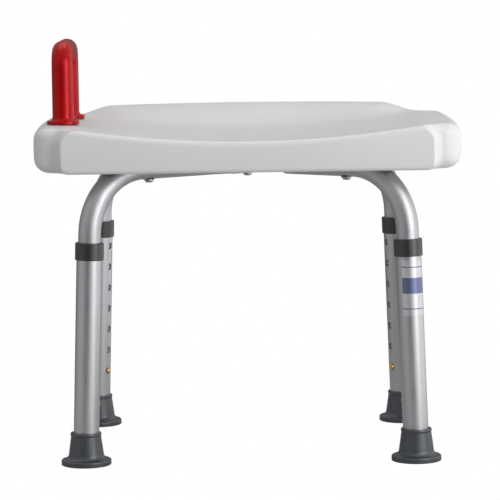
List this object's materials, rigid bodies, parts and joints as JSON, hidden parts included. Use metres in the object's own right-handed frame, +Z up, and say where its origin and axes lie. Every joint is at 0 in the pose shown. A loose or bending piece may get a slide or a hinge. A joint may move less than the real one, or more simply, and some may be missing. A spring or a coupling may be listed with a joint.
{
  "type": "shower stool",
  "caption": "Shower stool with a dished seat, an upright grab handle on one end tab, crossed bent tube legs, telescopic lower legs with snap buttons and flanged rubber feet.",
  "frame": {"origin": "on the floor, midway between the four feet, with the legs at their lowest setting", "axes": "+X to the right as seen from the front, with the grab handle at -X; +Y to the back; +Z up"},
  "size_m": [0.4848, 0.3248, 0.471],
  "materials": {
    "seat_plastic": "satin moulded polyethylene with a fine grain",
    "handle_plastic": "glossy moulded red plastic",
    "tube_aluminium": "satin anodised tube",
    "leg_aluminium": "satin anodised tube",
    "collar_plastic": "dark grey moulded plastic",
    "foot_rubber": "matt grey rubber",
    "button_brass": "polished",
    "insert_brass": "machined",
    "screw_steel": "zinc plated",
    "spring_steel": "blued spring steel",
    "label_film": "plain printed film, no lettering"
  },
  "bodies": {
    "root": {"seat": "seat_plastic", "grab_handle": "handle_plastic", "frame_tube_lower": "tube_aluminium", "frame_tube_upper": "tube_aluminium", "seat_screws": "screw_steel", "centre_screw": "screw_steel", "screw_washers": "screw_steel", "threaded_inserts": "insert_brass", "handle_screws": "screw_steel", "handle_washers": "screw_steel", "spring_clip_fl": "spring_steel", "spring_clip_fr": "spring_steel", "spring_clip_rl": "spring_steel", "spring_clip_rr": "spring_steel"},
    "leg_fl": {"lower_leg_fl": "leg_aluminium", "leg_collar_fl": "collar_plastic", "rubber_foot_fl": "foot_rubber", "foot_washer_fl": "screw_steel"},
    "button_fl": {"snap_button_fl": "button_brass"},
    "leg_fr": {"lower_leg_fr": "leg_aluminium", "leg_collar_fr": "collar_plastic", "rubber_foot_fr": "foot_rubber", "foot_washer_fr": "screw_steel", "leg_label": "label_film"},
    "button_fr": {"snap_button_fr": "button_brass"},
    "leg_rl": {"lower_leg_rl": "leg_aluminium", "leg_collar_rl": "collar_plastic", "rubber_foot_rl": "foot_rubber", "foot_washer_rl": "screw_steel"},
    "button_rl": {"snap_button_rl": "button_brass"},
    "leg_rr": {"lower_leg_rr": "leg_aluminium", "leg_collar_rr": "collar_plastic", "rubber_foot_rr": "foot_rubber", "foot_washer_rr": "screw_steel"},
    "button_rr": {"snap_button_rr": "button_brass"}
  },
  "joints": [
    {"name": "leg_slide_fl", "type": "slide", "parent": "root", "child": "leg_fl", "axis": [-0.0335, -0.0243, -0.9991], "range_m": [0, 0.1524]},
    {"name": "button_press_fl", "type": "slide", "parent": "root", "child": "button_fl", "axis": [-0.8083, -0.5873, 0.0414], "range_m": [0, 0.0047], "stiffness_N_per_m": 1500, "springref_m": -0.002, "deforming": ["spring_clip_fl"]},
    {"name": "leg_slide_fr", "type": "slide", "parent": "root", "child": "leg_fr", "axis": [0.0335, -0.0243, -0.9991], "range_m": [0, 0.1524]},
    {"name": "button_press_fr", "type": "slide", "parent": "root", "child": "button_fr", "axis": [0.8083, -0.5873, 0.0414], "range_m": [0, 0.0047], "stiffness_N_per_m": 1500, "springref_m": -0.002, "deforming": ["spring_clip_fr"]},
    {"name": "leg_slide_rl", "type": "slide", "parent": "root", "child": "leg_rl", "axis": [-0.0335, 0.0243, -0.9991], "range_m": [0, 0.1524]},
    {"name": "button_press_rl", "type": "slide", "parent": "root", "child": "button_rl", "axis": [-0.8083, 0.5873, 0.0414], "range_m": [0, 0.0047], "stiffness_N_per_m": 1500, "springref_m": -0.002, "deforming": ["spring_clip_rl"]},
    {"name": "leg_slide_rr", "type": "slide", "parent": "root", "child": "leg_rr", "axis": [0.0335, 0.0243, -0.9991], "range_m": [0, 0.1524]},
    {"name": "button_press_rr", "type": "slide", "parent": "root", "child": "button_rr", "axis": [0.8083, 0.5873, 0.0414], "range_m": [0, 0.0047], "stiffness_N_per_m": 1500, "springref_m": -0.002, "deforming": ["spring_clip_rr"]}
  ]
}
